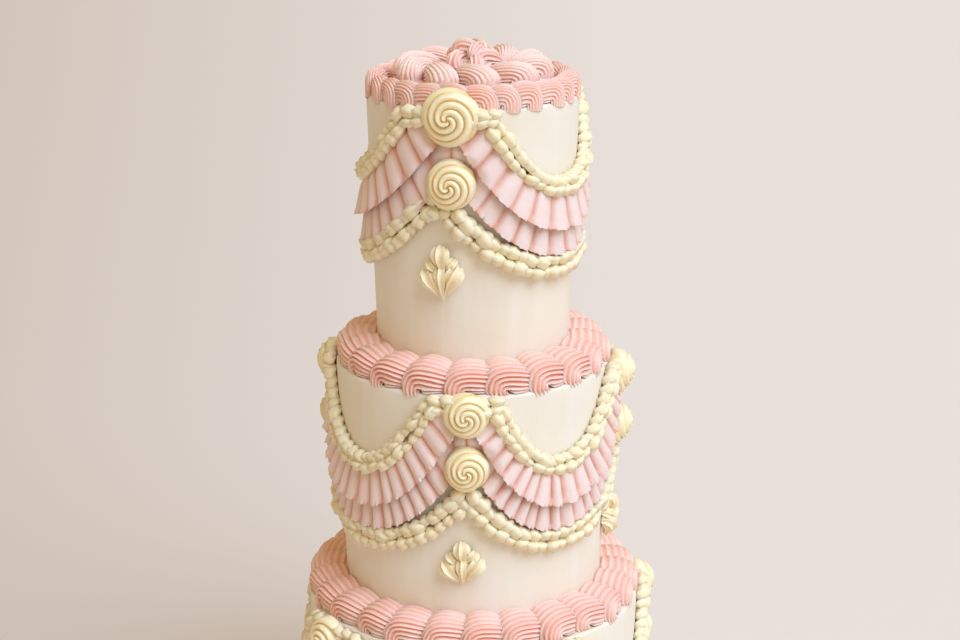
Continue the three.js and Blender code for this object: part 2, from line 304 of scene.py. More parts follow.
def select_edges(piece, chosen):
    """Selects the edges whose two ends pass a test, and leaves the piece in edit mode."""
    bpy.ops.object.mode_set(mode="EDIT")
    bpy.ops.mesh.select_mode(type="EDGE")
    bpy.ops.mesh.select_all(action="DESELECT")
    bpy.ops.object.mode_set(mode="OBJECT")
    for edge in piece.data.edges:
        edge.select = chosen(*(piece.data.vertices[end].co for end in edge.vertices))
    bpy.ops.object.mode_set(mode="EDIT")


def points_of(piece):
    points = np.empty(len(piece.data.vertices) * 3)
    piece.data.vertices.foreach_get("co", points)
    return points.reshape(-1, 3)


def set_points(piece, points):
    piece.data.vertices.foreach_set("co", np.asarray(points, float).ravel())
    piece.data.update()


def mark_crests(piece, values):
    """Keeps how far each corner stands on a ridge, which sets how much painted shade the icing
    gets in its grooves.
    """
    crest = piece.data.attributes.get("crest")
    if crest is None:
        crest = piece.data.attributes.new("crest", "FLOAT", "POINT")
    crest.data.foreach_set("value", np.asarray(values, float))


def group_weights(piece, group):
    """The weight of each corner in a vertex group."""
    weights = np.zeros(len(piece.data.vertices))
    for vertex in piece.data.vertices:
        for link in vertex.groups:
            if link.group == group.index:
                weights[vertex.index] = link.weight
    return weights


def squeeze(name, tooth, teeth, groove, stations, paleness=0.0):
    """Pipes one stroke in the XZ plane by extruding a star from station to station.

    tooth holds how far each corner of one tooth stands on the ridge, and a station is
    (x, z, heading in degrees above +x, radius), in millimetres. paleness is how much of the
    ridges' colour the grooves keep, which is how little painted shade they get.
    """
    corners = len(tooth) * teeth
    x, z, heading, radius = stations[0]
    place = Vector((x, 0, z)) * MM
    bpy.ops.object.select_all(action="DESELECT")
    bpy.ops.mesh.primitive_circle_add(
        vertices=corners, radius=radius * MM, fill_type="TRIFAN", location=place,
        rotation=(0, math.radians(90 - heading), 0))
    piece = name_new(name)
    bpy.ops.object.transform_apply(location=True, rotation=True, scale=True)

    group = piece.vertex_groups.new(name="ridges")
    rim = [v for v in piece.data.vertices if (v.co - place).length > radius * MM / 2]
    for order, vertex in enumerate(rim):
        crest = tooth[order % len(tooth)]
        group.add([vertex.index], crest, "REPLACE")
        vertex.co = place + (vertex.co - place) * (1 - groove * (1 - crest))

    bpy.ops.object.mode_set(mode="EDIT")
    bpy.ops.mesh.select_all(action="SELECT")
    for before, after in zip(stations, stations[1:]):
        step = Vector((after[0] - before[0], 0, after[1] - before[1])) * MM
        place = Vector((after[0], 0, after[1])) * MM
        growth = after[3] / before[3]
        turn = math.radians(after[2] - before[2])
        bpy.ops.mesh.extrude_region_move(TRANSFORM_OT_translate={"value": step})
        bpy.ops.transform.resize(value=(growth,) * 3, center_override=place)
        bpy.ops.transform.rotate(value=turn, orient_axis="Y", center_override=place)
    end_facing_outwards()
    mark_crests(piece, paleness + (1 - paleness) * group_weights(piece, group))
    return piece


def copy_at(master, points):
    """A copy of a master stroke, with its own mesh, at the given points."""
    copy = master.copy()
    copy.data = master.data.copy()
    bpy.context.collection.objects.link(copy)
    set_points(copy, points)
    return copy


def join_as(name, pieces):
    """Joins pieces into the first of them, under a new name."""
    bpy.ops.object.select_all(action="DESELECT")
    for piece in pieces:
        piece.select_set(True)
    bpy.context.view_layer.objects.active = pieces[0]
    if len(pieces) > 1:
        bpy.ops.object.join()
    whole = bpy.context.view_layer.objects.active
    whole.name = whole.data.name = name
    return whole


def remove(*pieces):
    for piece in pieces:
        bpy.data.objects.remove(piece)


def yawed(points, degrees):
    """Turns points about the vertical through the origin."""
    angle = math.radians(degrees)
    x, y, z = points.T
    return np.column_stack((
        x * math.cos(angle) - y * math.sin(angle), x * math.sin(angle) + y * math.cos(angle), z))


def finish_piece(piece, node, material, smooth_angle=180):
    """Smooths a finished piece, gives it its icing and puts it in place of its node."""
    only(piece)
    bpy.ops.object.shade_smooth_by_angle(angle=math.radians(smooth_angle))
    piece.data.materials.clear()
    piece.data.materials.append(material)
    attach(piece, "root")
    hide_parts(node)


# ---------------------------------------------------------------- icings


def add_node(tree, kind, links=None, **settings):
    """Adds a node; links holds the source or the constant of each of its sockets."""
    node = tree.nodes.new(kind)
    for name, value in settings.items():
        setattr(node, name, value)
    for socket, source in (links or {}).items():
        if isinstance(source, bpy.types.NodeSocket):
            tree.links.new(source, node.inputs[socket])
        else:
            node.inputs[socket].default_value = source
    return node


def noise(tree, coordinates, scale, detail, stretch=(1, 1, 1)):
    mapping = add_node(tree, "ShaderNodeMapping", {"Vector": coordinates, "Scale": stretch})
    return add_node(tree, "ShaderNodeTexNoise", {
        "Vector": mapping.outputs[0], "Scale": scale, "Detail": detail}).outputs["Fac"]


def remap(tree, value, low, high, to_low, to_high):
    return add_node(tree, "ShaderNodeMapRange", {
        "Value": value, "From Min": low, "From Max": high, "To Min": to_low,
        "To Max": to_high}).outputs["Result"]


def mixed(tree, factor, first, second):
    """Mixes two colours, with the sockets that the Mix node keeps for colours."""
    return add_node(
        tree, "ShaderNodeMix", {0: factor, 6: first, 7: second}, data_type="RGBA").outputs[2]


def calculated(tree, operation, *values):
    return add_node(
        tree, "ShaderNodeMath", dict(enumerate(values)), operation=operation).outputs[0]


def rgba(colour):
    return (*colour, 1.0)


def new_surface(name, subsurface, glow_depth):
    """Starts a material; glow_depth is how far light spreads inside it."""
    material = bpy.data.materials.new(name)
    material.use_nodes = True
    tree = material.node_tree
    shader = tree.nodes["Principled BSDF"]
    shader.inputs["Subsurface Weight"].default_value = subsurface
    shader.inputs["Subsurface Radius"].default_value = (1.0, 0.55, 0.35)
    shader.inputs["Subsurface Scale"].default_value = glow_depth
    coordinates = add_node(tree, "ShaderNodeTexCoord").outputs["Object"]
    return material, tree, shader, coordinates


def link_surface(tree, shader, colour, roughness, heights):
    """Links a colour and a roughness, and stacks bumps given as (height, distance)."""
    tree.links.new(colour, shader.inputs["Base Color"])
    tree.links.new(roughness, shader.inputs["Roughness"])
    normal = None
    for height, distance in heights:
        links = {"Height": height, "Distance": distance, "Strength": 1.0}
        if normal is not None:
            links["Normal"] = normal
        normal = add_node(tree, "ShaderNodeBump", links).outputs["Normal"]
    tree.links.new(normal, shader.inputs["Normal"])


ICING_GLOW = 4 * MM  # how far light spreads inside buttercream


def piped_icing(name, body, groove, roughness, crest_to, subsurface):
    """Piped buttercream with painted shade in its grooves, a little uneven, with fine pits."""
    body, groove = getattr(colours(), body), getattr(colours(), groove)
    material, tree, shader, coordinates = new_surface(name, subsurface, ICING_GLOW)
    crest = add_node(tree, "ShaderNodeAttribute", attribute_name="crest").outputs["Fac"]
    # Painted shade: the grooves' colour darkens the icing where the crest is low.
    depth = remap(tree, crest, 0, crest_to, 0, 1)
    colour = mixed(tree, depth, rgba(groove), rgba(body))
    patches = noise(tree, coordinates, 55, 3)
    pale = [channel + (1 - channel) * 0.28 for channel in body]
    colour = mixed(tree, remap(tree, patches, 0.35, 0.75, 0, 0.3), colour, rgba(pale))
    grain = noise(tree, coordinates, 900, 2)
    lumps = noise(tree, coordinates, 210, 2)
    rough = remap(tree, grain, 0.3, 0.7, roughness - 0.06, roughness + 0.08)
    link_surface(tree, shader, colour, rough, [(lumps, 0.35 * MM), (grain, 0.12 * MM)])
    return material


def wall_icing():
    """Buttercream smoothed with a scraper: faint upright streaks and soft dips."""
    body = colours().wall
    material, tree, shader, coordinates = new_surface("ivory_wall_icing", 0.12, ICING_GLOW)
    streaks = noise(tree, coordinates, 70, 4, stretch=(1, 1, 0.06))
    clouds = noise(tree, coordinates, 14, 3)
    warm = [body[0] * 0.97, body[1] * 0.94, body[2] * 0.86]
    colour = mixed(tree, remap(tree, clouds, 0.3, 0.75, 0, 1), rgba(body), rgba(warm))
    pale = [channel + (1 - channel) * 0.2 for channel in body]
    colour = mixed(tree, remap(tree, streaks, 0.5, 0.8, 0, 0.6), colour, rgba(pale))
    grain = noise(tree, coordinates, 650, 2)
    rough = remap(tree, streaks, 0.3, 0.7, 0.5, 0.62)
    link_surface(tree, shader, colour, rough, [
        (clouds, 2.2 * MM), (streaks, 0.5 * MM), (grain, 0.05 * MM)])
    return material


def board_paper():
    """White covering paper: satin, with a faint fibre."""
    body = colours().board
    material, tree, shader, coordinates = new_surface("white_board_paper", 0.0, MM)
    fibre = noise(tree, coordinates, 380, 4, stretch=(1, 3, 1))
    shade = [channel * 0.93 for channel in body]
    colour = mixed(tree, fibre, rgba(body), rgba(shade))
    rough = remap(tree, fibre, 0.3, 0.7, 0.45, 0.6)
    link_surface(tree, shader, colour, rough, [(fibre, 0.1 * MM)])
    return material


def floor_paint():
    """Matt painted floor with hardly any texture, with painted shade that darkens it towards the
    left, away from the window light.
    """
    body = colours().floor
    material, tree, shader, coordinates = new_surface("pale_floor_paint", 0.0, MM)
    clouds = noise(tree, coordinates, 0.7, 2)
    place = add_node(tree, "ShaderNodeSeparateXYZ", {"Vector": coordinates}).outputs
    away = calculated(tree, "ADD", calculated(tree, "ABSOLUTE", place["Y"]), 2.0)
    sideways = calculated(tree, "DIVIDE", place["X"], away)
    # Painted shade towards the left; the clouds below add a faint random mottle of the same
    # colour.
    shade_and_mottle = rgba((body[0] * 0.78, body[1] * 0.74, body[2] * 0.70))
    colour = mixed(tree, remap(tree, sideways, -0.2, 0.06, 0, 1), shade_and_mottle, rgba(body))
    colour = mixed(tree, remap(tree, clouds, 0, 1, 0, 0.04), colour, shade_and_mottle)
    rough = remap(tree, clouds, 0.3, 0.7, 0.88, 0.95)
    link_surface(tree, shader, colour, rough, [(clouds, 0.01 * MM)])
    return material


# The material's name, the colour of its ridges and the painted shade in its grooves, its
# roughness, how far up a ridge the painted shade gives way to the ridges' colour, and how much
# light goes into it.
PIPED_FINISHES = {
    "shells": ("salmon_shell_icing", "shells", "shell_groove_shade", 0.5, 0.8, 0.4),
    "crown": ("pale_crown_icing", "crown", "shell_groove_shade", 0.5, 0.8, 0.4),
    "ruffles": ("dusty_ruffle_icing", "ruffles", "ruffle_creases", 0.55, 0.6, 0.2),
    "rosettes": ("golden_rosette_icing", "rosettes", "rosette_grooves", 0.48, 0.8, 0.2),
    "cream": ("butter_cream_piping", "piping", "piping_grooves", 0.48, 0.8, 0.2),
}
SMOOTH_FINISHES = {"wall": wall_icing, "board": board_paper}
ICINGS = {}


def icing(kind):
    """Makes each finish once, when the first piece asks for it."""
    if kind not in ICINGS:
        if kind in PIPED_FINISHES:
            ICINGS[kind] = piped_icing(*PIPED_FINISHES[kind])
        else:
            ICINGS[kind] = SMOOTH_FINISHES[kind]()
    return ICINGS[kind]


# ---------------------------------------------------------------- board and tiers

TIER_ROUNDING = 2.2 * MM
BOARD_ROUNDING = 1.5 * MM
ROUNDING_STEPS = 5
NEAR_RIM = 0.9  # what lies past this share of the radius is on the side of a disc


def turned_disc(name, floor, top, base, rim, edge, facets=192, belts=1):
    """A turned disc with a rounded upper edge, from a cylinder. Its side has belts of faces
    that can be shaped afterwards."""
    middle = (top + floor) / 2
    bpy.ops.object.select_all(action="DESELECT")
    bpy.ops.mesh.primitive_cylinder_add(
        vertices=facets, radius=1, depth=top - floor, end_fill_type="TRIFAN",
        location=(0, 0, middle))
    piece = name_new(name)
    bpy.ops.object.transform_apply(location=True, rotation=True, scale=True)
    points = points_of(piece)
    radii = np.where(points[:, 2] > middle, rim, base)
    points[:, :2] *= radii[:, None]
    set_points(piece, points)
    select_edges(piece, lambda *ends: all(
        math.hypot(end.x, end.y) > rim * NEAR_RIM and end.z > middle for end in ends))
    bpy.ops.mesh.bevel(offset=edge, segments=ROUNDING_STEPS, affect="EDGES")
    if belts > 1:
        select_edges(piece, lambda first, second: abs(first.z - second.z) > (top - floor) / 2)
        bpy.ops.mesh.subdivide(number_cuts=belts - 1)
    bpy.ops.object.mode_set(mode="OBJECT")
    return piece


class CAKE_OT_board(bpy.types.Operator):
    """Makes the round board"""

    bl_idname = "cake.board"
    bl_label = "Board"

    def execute(self, context):
        low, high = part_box("board")
        disc = turned_disc("board_covered", low.z, high.z, high.x, high.x, BOARD_ROUNDING)
        finish_piece(disc, "board", icing("board"), smooth_angle=40)
        return {"FINISHED"}


class CAKE_OT_tiers(bpy.types.Operator):
    """Makes the smoothed walls and tops of the tiers"""

    bl_idname = "cake.tiers"
    bl_label = "Tiers"

    BELTS = 24
    WAVE = 0.28 * MM
    INSET = 0.25 * MM  # keeps the waves inside the tier
    LOBES = (2, 3, 5, 9, 14)  # waves round the tier
    CLIMBS = (-20, 20)  # how far a wave leans, in radians for each metre of height

    def execute(self, context):
        for tier in TIERS:
            disc = turned_disc(
                f"wall_{tier.name}", tier.floor, tier.top, tier.base, tier.rim, TIER_ROUNDING,
                belts=self.BELTS)
            self.make_uneven(tier, disc)
            finish_piece(
                disc, f"tier_{tier.name}", icing("wall"), smooth_angle=50)
        return {"FINISHED"}

    def make_uneven(self, tier, disc):
        """Leaves the slow waves that a scraper leaves in the wall."""
        points = points_of(disc)
        radius = np.hypot(points[:, 0], points[:, 1])
        azimuth = np.arctan2(points[:, 0], -points[:, 1])
        draw = random.Random(tier.name)
        wave = np.zeros(len(points))
        for lobes in self.LOBES:
            phase = draw.uniform(0, FULL_TURN)
            climb = draw.uniform(*self.CLIMBS)
            wave += np.sin(lobes * azimuth + phase + climb * points[:, 2]) * 0.5 / lobes**0.6
        on_side = radius > tier.base * NEAR_RIM
        moved = radius + np.where(on_side, wave * self.WAVE - self.INSET, 0)
        scale = np.divide(moved, radius, out=np.ones_like(radius), where=radius > 0)
        points[:, :2] *= scale[:, None]
        set_points(disc, points)


# ---------------------------------------------------------------- borders of piped shells

# How far each corner of one tooth stands on its ridge, from 1 on top to 0 in the groove.
SHARP_TOOTH = (1.0, 0.12, 0.0, 0.12)
SHELL_TOOTH = (1.0, 0.78, 0.2, 0.0, 0.2, 0.78)
CROWN_TOOTH = (1.0, 0.9, 0.5, 0.0, 0.5, 0.9)
# The nozzle starts at the foot, rises, bends over to the right and is pulled away to a tail.
SHELL_STROKE = [
    (7.6, 0.2, 106, 7.0),
    (6.8, 2.6, 93, 7.6),
    (7.0, 5.0, 74, 7.8),
    (8.2, 7.0, 52, 7.8),
    (10.2, 8.1, 30, 7.8),
    (12.8, 8.5, 12, 7.7),
    (15.6, 8.3, 0, 7.6),
    (18.6, 7.8, -8, 7.4),
    (21.6, 7.1, -14, 7.0),
    (24.6, 6.2, -18, 6.3),
    (27.4, 5.3, -20, 5.2),
    (29.8, 4.5, -20, 3.6),
    (31.4, 3.9, -20, 1.2),
]
SHELL_PITCH = 23.5 * MM  # the distance between shells that the stroke is drawn for
SHELL_HEIGHT = 16.2 * MM
SHELL_RADIUS = 7.8 * MM
SHELL_MIDDLE = 15.5 * MM
SHELL_SINK = 0.4 * MM  # how deep a shell is pressed into what it stands on
OVERHANG = 0.6 * MM  # how far the feet of a ring hang over the edge of the tier below
FOOT_HEIGHT = 5 * MM  # the part of a shell that follows that edge down


def shell_master(name, tooth, teeth, groove, paleness=0.0):
    """Pipes a shell that spreads over what it stands on, so that its sides come straight
    down to its foot."""
    stroke = squeeze(name, tooth, teeth, groove, SHELL_STROKE, paleness)
    x, y, z = points_of(stroke).T
    crest = np.empty(len(x))
    stroke.data.attributes["crest"].data.foreach_get("value", crest)
    below = 1 - np.clip(z / SHELL_RADIUS, 0, 1)
    widened = np.abs(y) * np.maximum(1 - below**2, 0.02) ** -0.7  # 0.02 keeps it finite
    most = half_width_at(x) * (1 - 0.5 * groove * (1 - crest))
    y = np.sign(y) * np.minimum(widened, np.maximum(np.abs(y), most))
    z = np.where(z > 0, z * np.sqrt(np.clip(z / SHELL_RADIUS, 0, 1)), z)
    set_points(stroke, np.column_stack((x, y, np.maximum(z, -SHELL_SINK))))
    return stroke


def half_width_at(x):
    """Half the width of the shell stroke, seen from above, at each distance along it."""
    along, _, _, radius = np.array(SHELL_STROKE[2:]).T * MM
    head = np.sqrt(np.maximum(SHELL_RADIUS**2 - (along[0] - x) ** 2, 0))
    return np.where(x < along[0], head, np.interp(x, along, radius))


def turn_about(stroke):
    """Mirrors a stroke end for end, so that it runs the other way round its ring."""
    points = points_of(stroke)
    points[:, 0] = 2 * SHELL_MIDDLE - points[:, 0]
    set_points(stroke, points)
    face_outwards(stroke)


class ShellRing:
    """Where one ring of shells runs, and how wide and high its shells are. `backing` is the
    share of a shell's width that is pressed into what stands behind the ring, `overlap` how
    long a shell is for its place, `over` the radius of the rounded edge that the feet hang
    over, `turn` how far each shell is turned on its spot in degrees, `unevenness` how much
    the shells differ, and `lift` the height of what they stand on."""

    # Shares of the usual length and width, share of the height that is lost at most, turns in
    # degrees, and shifts as shares of the distance between shells.
    LENGTHS = (0.95, 1.1)
    WIDTHS = (0.98, 1.02)
    LOWERED = 0.07
    TURNS = (-6, 6)
    SHIFTS = (-0.05, 0.05)

    def __init__(self, node, shells, start, inner, backing=0.0, overlap=1.0, over=None,
                 turn=0.0, unevenness=1.0, lift=0.0):
        low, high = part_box(node)
        self.node = node
        self.shells = shells
        self.start = math.radians(start)
        self.inner = inner
        self.outer = high.x if over is None else max(high.x, over + OVERHANG)
        self.floor = low.z + lift
        self.height = high.z - self.floor
        self.backing = backing
        self.overlap = overlap
        self.over = over
        self.turn = turn
        self.unevenness = unevenness

    def place(self, master, order, draw):
        """Bends one shell round the ring."""
        width = (self.outer - self.inner) / (1 - self.backing)
        middle = self.outer - width / 2
        pitch = FULL_TURN / self.shells
        uneven = self.unevenness
        long = self.overlap * pitch * middle / SHELL_PITCH * draw.uniform(*self.LENGTHS)
        high = self.height / SHELL_HEIGHT * (1 - self.LOWERED * uneven * draw.random())
        wide = width / 2 / SHELL_RADIUS * draw.uniform(*self.WIDTHS)
        pivot = (SHELL_MIDDLE, 0, 0)
        turn = self.turn + uneven * draw.uniform(*self.TURNS)
        x, y, z = (yawed(points_of(master) - pivot, turn) + pivot).T
        y = y * min(1, SHELL_RADIUS / np.abs(y).max())
        radius = middle + wide * y
        shift = draw.uniform(*self.SHIFTS) * pitch
        azimuth = self.start + order * pitch + long * x / middle + shift
        height = self.floor + high * z
        if self.over is not None:
            beyond = np.clip((radius - self.over) / TIER_ROUNDING + 1, 0, 1)
            fallen = TIER_ROUNDING * (1 - np.sqrt(1 - beyond**2)) + OVERHANG * beyond
            height -= fallen * (1 - smooth(0, FOOT_HEIGHT, z))
        return round_the_axis(radius, azimuth, height)

    def pipe(self, master, seed, others=(), finish="shells"):
        """Pipes the ring. Bending a shell round it mirrors the shell, so the faces are turned
        outwards again."""
        draw = random.Random(seed)
        shells = [copy_at(master, self.place(master, order, draw)) for order in range(self.shells)]
        whole = join_as(f"piped_{self.node}", [*shells, *others])
        face_outwards(whole)
        finish_piece(whole, self.node, icing(finish), smooth_angle=65)


class CAKE_OT_shell_borders(bpy.types.Operator):
    """Pipes the shell borders at the foot of each tier and round the top rim"""

    bl_idname = "cake.shell_borders"
    bl_label = "Shell borders"

    def execute(self, context):
        master = shell_master(
            "shell_stroke", SHELL_TOOTH, sizes().shell_teeth, sizes().shell_groove)
        rings = [
            ShellRing("base_border_bottom", 30, -3, 104.5 * MM, backing=0.3, overlap=1.08),
            ShellRing("base_border_middle", 26, -5, 82.5 * MM, backing=0.3, overlap=1.08,
                      over=TIERS[0].rim),
            ShellRing("base_border_top", 20, -15, 60 * MM, backing=0.3, overlap=1.08,
                      over=TIERS[1].rim),
            ShellRing("rim_border", 25, 2, 50.6 * MM, overlap=1.38, over=TIERS[2].rim,
                      turn=16, unevenness=2.1),
        ]
        for seed, ring in enumerate(rings):
            if ring.node == "rim_border":
                turn_about(master)  # the shells of the rim run the other way round
            ring.pipe(master, seed)
        remove(master)
        return {"FINISHED"}


class CAKE_OT_crown(bpy.types.Operator):
    """Pipes the tall shells on the top and the swirl in their middle"""

    bl_idname = "cake.crown"
    bl_label = "Crown"

    CENTRE_RIDGE = 3 * MM
    TEETH = 19
    GROOVE = 0.14
    PALENESS = 0.5
    BED = 9 * MM
    BED_RADII = (49 * MM, 46 * MM)  # at its foot and at its top
    BED_ROUNDING = 2 * MM
    BED_SHADE = 0.4  # its painted shade, on the crest scale from 0 in a groove to 1 on a ridge
    SWIRL_ARMS = 9
    SWIRL_TURNS = 0.8
    SWIRL_HEIGHT = 0.7  # of the whole centre, as a share
    CURL_TEETH = 9
    CURL_GROOVE = 0.3
    # Curls heaped on the centre: azimuth, distance from the middle in millimetres, turn in
    # degrees, size as a share of the usual shell, and how far it ends below the highest one.
    CURLS = [
        (10, 10, 95, 0.6, 7.5), (62, 10, 20, 0.56, 5.5), (118, 9.5, 300, 0.6, 4.5),
        (170, 9, 210, 0.62, 3), (235, 9.5, 150, 0.58, 4.5), (300, 10, 60, 0.62, 6),
        (30, 4, 250, 0.6, 1.5), (150, 4.5, 120, 0.58, 0.5), (270, 4, 340, 0.6, 0),
    ]

    def execute(self, context):
        master = shell_master(
            "crown_stroke", CROWN_TOOTH, self.TEETH, self.GROOVE, self.PALENESS)
        turn_about(master)
        ring = ShellRing(
            "crown_of_shells", 10, 10, 21 * MM, overlap=1.15, turn=52, unevenness=2,
            lift=self.BED)
        ring.pipe(master, "crown", [self.spread_bed()], "crown")
        curl = shell_master("curl_stroke", SHELL_TOOTH, self.CURL_TEETH, self.CURL_GROOVE)
        self.pipe_centre(curl)
        remove(master, curl)
        return {"FINISHED"}

    def spread_bed(self):
        """The low bed of icing that lifts the crown above the rim."""
        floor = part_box("crown_of_shells")[0].z
        bed = turned_disc(
            "crown_bed", floor, floor + self.BED + MM, *self.BED_RADII, self.BED_ROUNDING,
            facets=96)
        mark_crests(bed, np.full(len(bed.data.vertices), self.BED_SHADE))
        return bed

    def pipe_centre(self, master):
        low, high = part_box("centre_swirl")
        radius = high.x
        height = high.z - low.z
        ridge = self.CENTRE_RIDGE / height
        swirl = rosette_master("centre_swirl_stroke", self.SWIRL_ARMS, ridge, self.SWIRL_TURNS)
        x, y, z = points_of(swirl).T
        z = low.z + z * height * self.SWIRL_HEIGHT
        set_points(swirl, np.column_stack((x * radius, y * radius, z)))
        pieces = [swirl]
        for azimuth, reach, turn, size, drop in self.CURLS:
            points = points_of(master) - (SHELL_MIDDLE, 0, 0)
            points = yawed(points, turn) * size
            aside = math.radians(azimuth)
            points += Vector((math.sin(aside), -math.cos(aside), 0)) * reach * MM
            points[:, 2] += high.z - SHELL_HEIGHT * size - drop * MM
            pieces.append(copy_at(master, points))
        whole = join_as("piped_centre_swirl", pieces)
        finish_piece(whole, "centre_swirl", icing("crown"), smooth_angle=65)


# ---------------------------------------------------------------- ruffles

COLUMNS_PER_PLEAT = 12
RUFFLE_ROWS = 14


class Ruffle:
    """A ribbon of icing in soft pleats: fast to the wall along its top, lifted at its hem."""

    LEANING = 0.72  # how far the pleats lean towards square to the hem
    LAID_ON = 0.5 * MM  # how far the ribbon lies off the wall along its top
    UPRIGHT = 0.1  # share of a swag, at each end, where the pleats come to stand upright
    CREASE_CURL = 2.4 * MM  # how far the hem curls out at a crease
    CREASE_WIDTH = 0.1  # of that curl, as a share of a pleat
    FLUTTER = 0.8 * MM  # how far the hem goes in and out
    SCALLOP = 0.6 * MM  # how far the hem of a pleat hangs below its creases
    HEM_WAVE = 0.5 * MM  # how far the hem goes up and down
    HEM_SHADE = 0.35  # how much painted shade the lip of the hem gets
    EDGE_GAP = 3.5 * MM  # from the tier's top edge to the ribbon
    LEAST_WIDTH = 2 * MM
    PRESSED = 0.4  # share of its distance off the wall that is left under a rosette

    def __init__(self, tier, level, line, width, stand):
        self.tier = tier
        self.node = f"{level}_ruffle_{tier.name}"
        self.line = line
        self.width = width
        self.stand = stand

    def pleat_phases(self, swag, draw):
        """Where each column of the ribbon is along the swag and inside its pleat."""
        count = self.tier.pleats[swag]
        widths = np.array([draw.uniform(0.82, 1.2) for _ in range(count)])
        edges = np.concatenate(([0], np.cumsum(widths))) / widths.sum()
        inside = np.linspace(0, 1, COLUMNS_PER_PLEAT, endpoint=False)
        share = np.concatenate([
            start + inside * (end - start) for start, end in zip(edges, edges[1:])])
        phase = np.tile(inside, count)
        pleat = np.repeat(np.arange(count), COLUMNS_PER_PLEAT)
        return np.append(share, 1.0), np.append(phase, 0.0), np.append(pleat, 0)

    def strip(self, swag):
        """Rows of points of one swag's ribbon from its top to its hem, and their crests."""
        tier = self.tier
        draw = random.Random(f"{tier.name}{swag}")
        share, phase, pleat = self.pleat_phases(swag, draw)
        count = tier.pleats[swag]

        def for_each_pleat(least, most):
            return np.array([draw.uniform(least, most) for _ in range(count)])[pleat]

        lean = for_each_pleat(0.75, 1.05)
        fullness = for_each_pleat(0.75, 1.15)
        curl = for_each_pleat(0.2, 1.0)
        arch = np.sin(np.pi * phase**lean) ** 0.95
        to_crease = np.minimum(phase, 1 - phase)

        line = SwagLine(tier, swag, self.line)
        along, height = line.at(share)
        slope = line.slope(share) * self.LEANING
        near_join = 1 - smooth(0, self.UPRIGHT, np.minimum(share, 1 - share))
        across_x = -np.sin(slope) * (1 - near_join)
        across_y = np.cos(slope) * (1 - near_join) + near_join
        length = np.hypot(across_x, across_y)
        across_x, across_y = across_x / length, across_y / length

        rows = []
        crests = []
        ripple = np.sin(share * count * 31) * 0.5 + np.sin(share * count * 19 + 1) * 0.5
        for row in range(RUFFLE_ROWS + 1):
            fall = row / RUFFLE_ROWS  # 0 along the top, 1 at the hem
            hem = float(smooth(0.8, 1, fall))
            body = self.LAID_ON + self.stand * (0.3 * float(smooth(0, 0.3, fall)) + 0.7 * fall)
            depth = sizes().pleat_depth * (0.5 + 0.5 * fall) * fullness
            out = body + depth * arch
            at_crease = np.exp(-((to_crease / self.CREASE_WIDTH) ** 2))
            out += hem * self.CREASE_CURL * curl * at_crease
            out += hem * self.FLUTTER * ripple
            scallop = (self.SCALLOP * (arch - 0.5) + self.HEM_WAVE * ripple) * hem
            room = np.maximum(tier.top - self.EDGE_GAP - height, self.LEAST_WIDTH)
            width = self.width * min(tier.depths[swag], 1)
            sideways = np.minimum(width, room) * (1 - fall) - scallop
            beside, level = along + across_x * sideways, height + across_y * sideways
            out *= self.PRESSED + (1 - self.PRESSED) * tier.clear_of_rosettes(beside, level)
            flat = np.column_stack((beside, level, out))
            rows.append(tier.on_wall(flat))
            # Painted shade: deeper pink in the creases, a little more towards the top of the
            # ribbon, and along the lip of the hem.
            lip = self.HEM_SHADE * float(smooth(0.9, 1, fall))
            crests.append(np.clip(arch * 1.05 - 0.05, 0, 1) * (0.8 + 0.2 * fall) - lip)
        return rows, crests

    def pipe(self):
        sheets = [self.sheet(swag) for swag in range(len(self.tier.joins))]
        whole = join_as(f"piped_{self.node}", sheets)
        only(whole)
        thickness = whole.modifiers.new("thickness", "SOLIDIFY")
        thickness.thickness = sizes().hem_thickness
        thickness.offset = -1
        bpy.ops.object.modifier_apply(modifier=thickness.name)
        finish_piece(whole, self.node, icing("ruffles"), smooth_angle=70)

    def sheet(self, swag):
        """Lays a flat grid out as one swag's ribbon."""
        rows, crests = self.strip(swag)
        columns = len(rows[0])
        bpy.ops.object.select_all(action="DESELECT")
        bpy.ops.mesh.primitive_grid_add(
            x_subdivisions=columns - 1, y_subdivisions=RUFFLE_ROWS, size=1)
        sheet = bpy.context.object
        grid = points_of(sheet)
        column = np.rint((grid[:, 0] + 0.5) * (columns - 1)).astype(int)
        row = np.rint((0.5 - grid[:, 1]) * RUFFLE_ROWS).astype(int)
        set_points(sheet, np.array(rows)[row, column])
        mark_crests(sheet, np.clip(np.array(crests)[row, column], 0, 1))
        return sheet


class CAKE_OT_ruffles(bpy.types.Operator):
    """Pipes the two pleated ruffles of every swag"""

    bl_idname = "cake.ruffles"
    bl_label = "Ruffles"

    def execute(self, context):
        for tier in TIERS:
            Ruffle(tier, "upper", UPPER_HEM, width=24 * MM, stand=6.2 * MM).pipe()
            Ruffle(tier, "lower", LOWER_HEM, width=24 * MM, stand=3.4 * MM).pipe()
        return {"FINISHED"}


# ---------------------------------------------------------------- ropes

ROUND_TOOTH = (1.0, 0.1)
# A short stroke that starts fat and is pulled away to a point.
BEAD_STROKE = [
    (0.8, 0.2, 100, 3.2),
    (1.0, 2.4, 70, 4.4),
    (2.9, 4.1, 30, 4.8),
    (5.4, 4.0, -6, 4.3),
    (7.6, 3.2, -20, 3.1),
    (9.3, 2.5, -24, 1.4),
]
BEAD_PITCH = 8.4 * MM  # the spacing and the half width that the stroke is drawn for
BEAD_ROPE_WIDTH = 6.6 * MM


